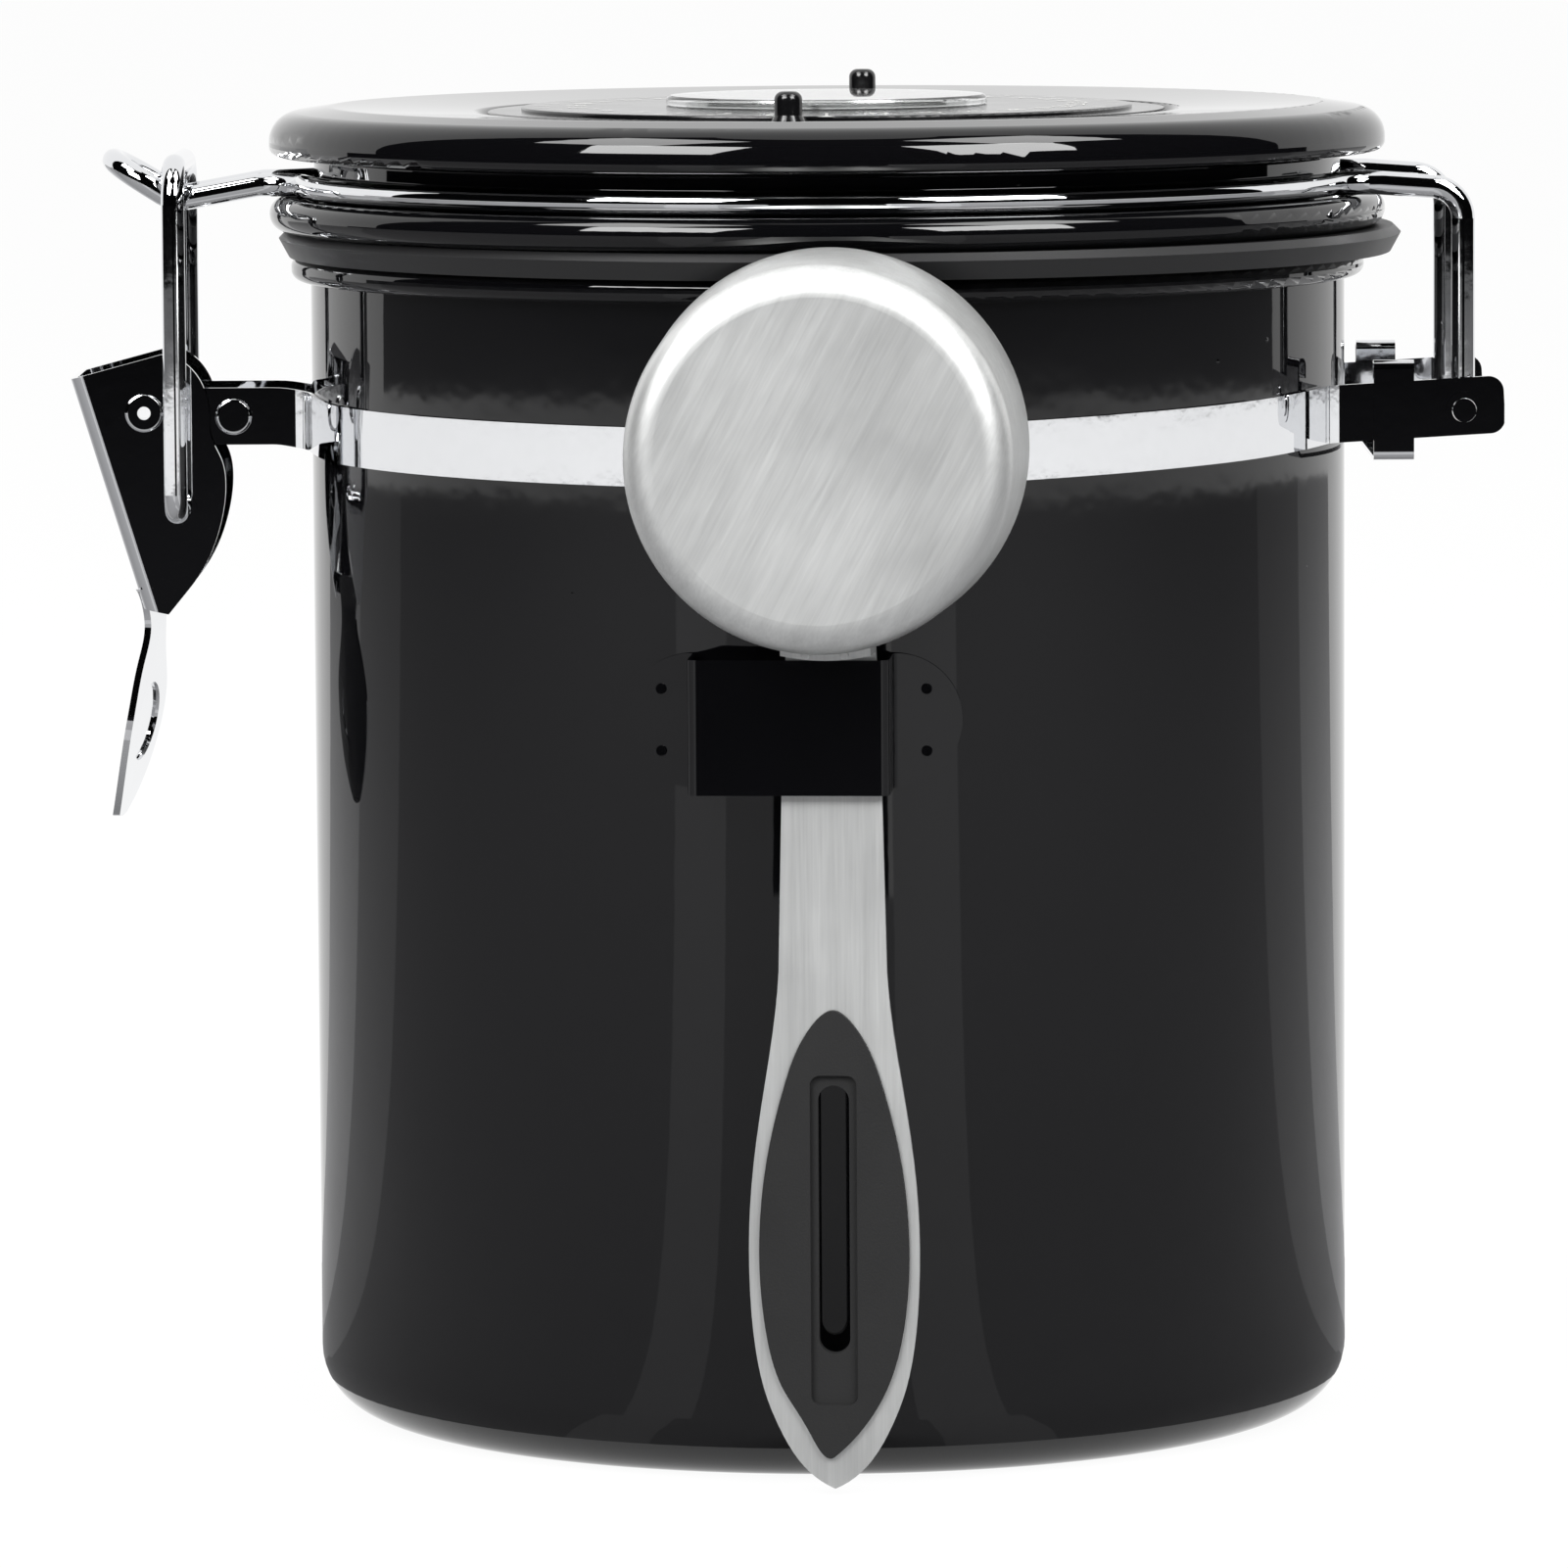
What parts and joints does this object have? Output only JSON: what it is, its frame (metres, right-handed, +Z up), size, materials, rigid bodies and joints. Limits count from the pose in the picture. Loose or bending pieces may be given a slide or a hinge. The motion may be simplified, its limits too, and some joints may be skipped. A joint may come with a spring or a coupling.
{
  "type": "coffee canister with valve",
  "caption": "Round steel coffee canister with a wire clamp lid, a one-way gas valve, a turning date dial and a scoop that hangs in a holder on the front.",
  "frame": {"origin": "on the axis of the body, in the plane that the base stands on", "axes": "+Z up along the body's axis, -Y to the scoop, -X to the latch lever, +X to the lid's hinge"},
  "size_m": [0.1719, 0.1622, 0.161],
  "materials": {
    "enamel": "gloss",
    "chrome": "polished",
    "brushed_steel": "brushed",
    "silicone": "matte",
    "plastic": "gloss",
    "filter": "matte",
    "lens": "clear"
  },
  "bodies": {
    "canister": {"body_shell": "enamel", "scoop_holder": "enamel", "band_front": "chrome", "band_rear": "chrome", "latch_rivet": "chrome", "latch_spacer": "chrome", "lever_pin": "chrome", "keeper_clip": "chrome"},
    "lid": {"lid_base": "enamel", "lid_cover": "enamel", "lid_gasket": "silicone", "lid_wire": "chrome", "valve_body": "plastic", "valve_washer": "silicone", "valve_nut": "plastic", "filter_disc": "filter", "filter_cap": "plastic", "lens_plate": "brushed_steel", "valve_lens": "lens"},
    "dial": {"date_dial": "plastic", "dial_pegs": "plastic"},
    "flap": {"valve_flap": "silicone"},
    "lever": {"latch_lever": "chrome"},
    "bail": {"latch_bail": "chrome"},
    "scoop": {"scoop_bowl": "brushed_steel", "scoop_handle": "brushed_steel", "handle_inlay": "silicone", "scoop_welds": "brushed_steel"}
  },
  "joints": [
    {"name": "lid_hinge", "type": "hinge", "parent": "canister", "child": "lid", "pos_m": [0.0758, 0, 0.12188], "axis": [0, 1, 0], "range_deg": [0, 100]},
    {"name": "dial_turn", "type": "hinge", "parent": "lid", "child": "dial", "pos_m": [0, 0, 0.1575], "axis": [0, 0, 1], "continuous": true},
    {"name": "flap_lift", "type": "slide", "parent": "lid", "child": "flap", "axis": [0, 0, 1], "range_m": [0, 0.0008]},
    {"name": "lever_pivot", "type": "hinge", "parent": "canister", "child": "lever", "pos_m": [-0.0824, 0, 0.12165], "axis": [0, 1, 0], "range_deg": [0, 105]},
    {"name": "bail_pivot", "type": "hinge", "parent": "lever", "child": "bail", "pos_m": [-0.0784, 0, 0.10985], "axis": [0, 1, 0], "range_deg": [-75, 5]},
    {"name": "scoop_lift", "type": "slide", "parent": "canister", "child": "scoop", "axis": [-0.0808, 0.0055, 0.9967], "range_m": [0, 0.1]}
  ],
  "couplings": [
    {"joint": "bail_pivot", "follows": "lever_pivot", "ratio": -0.7}
  ]
}
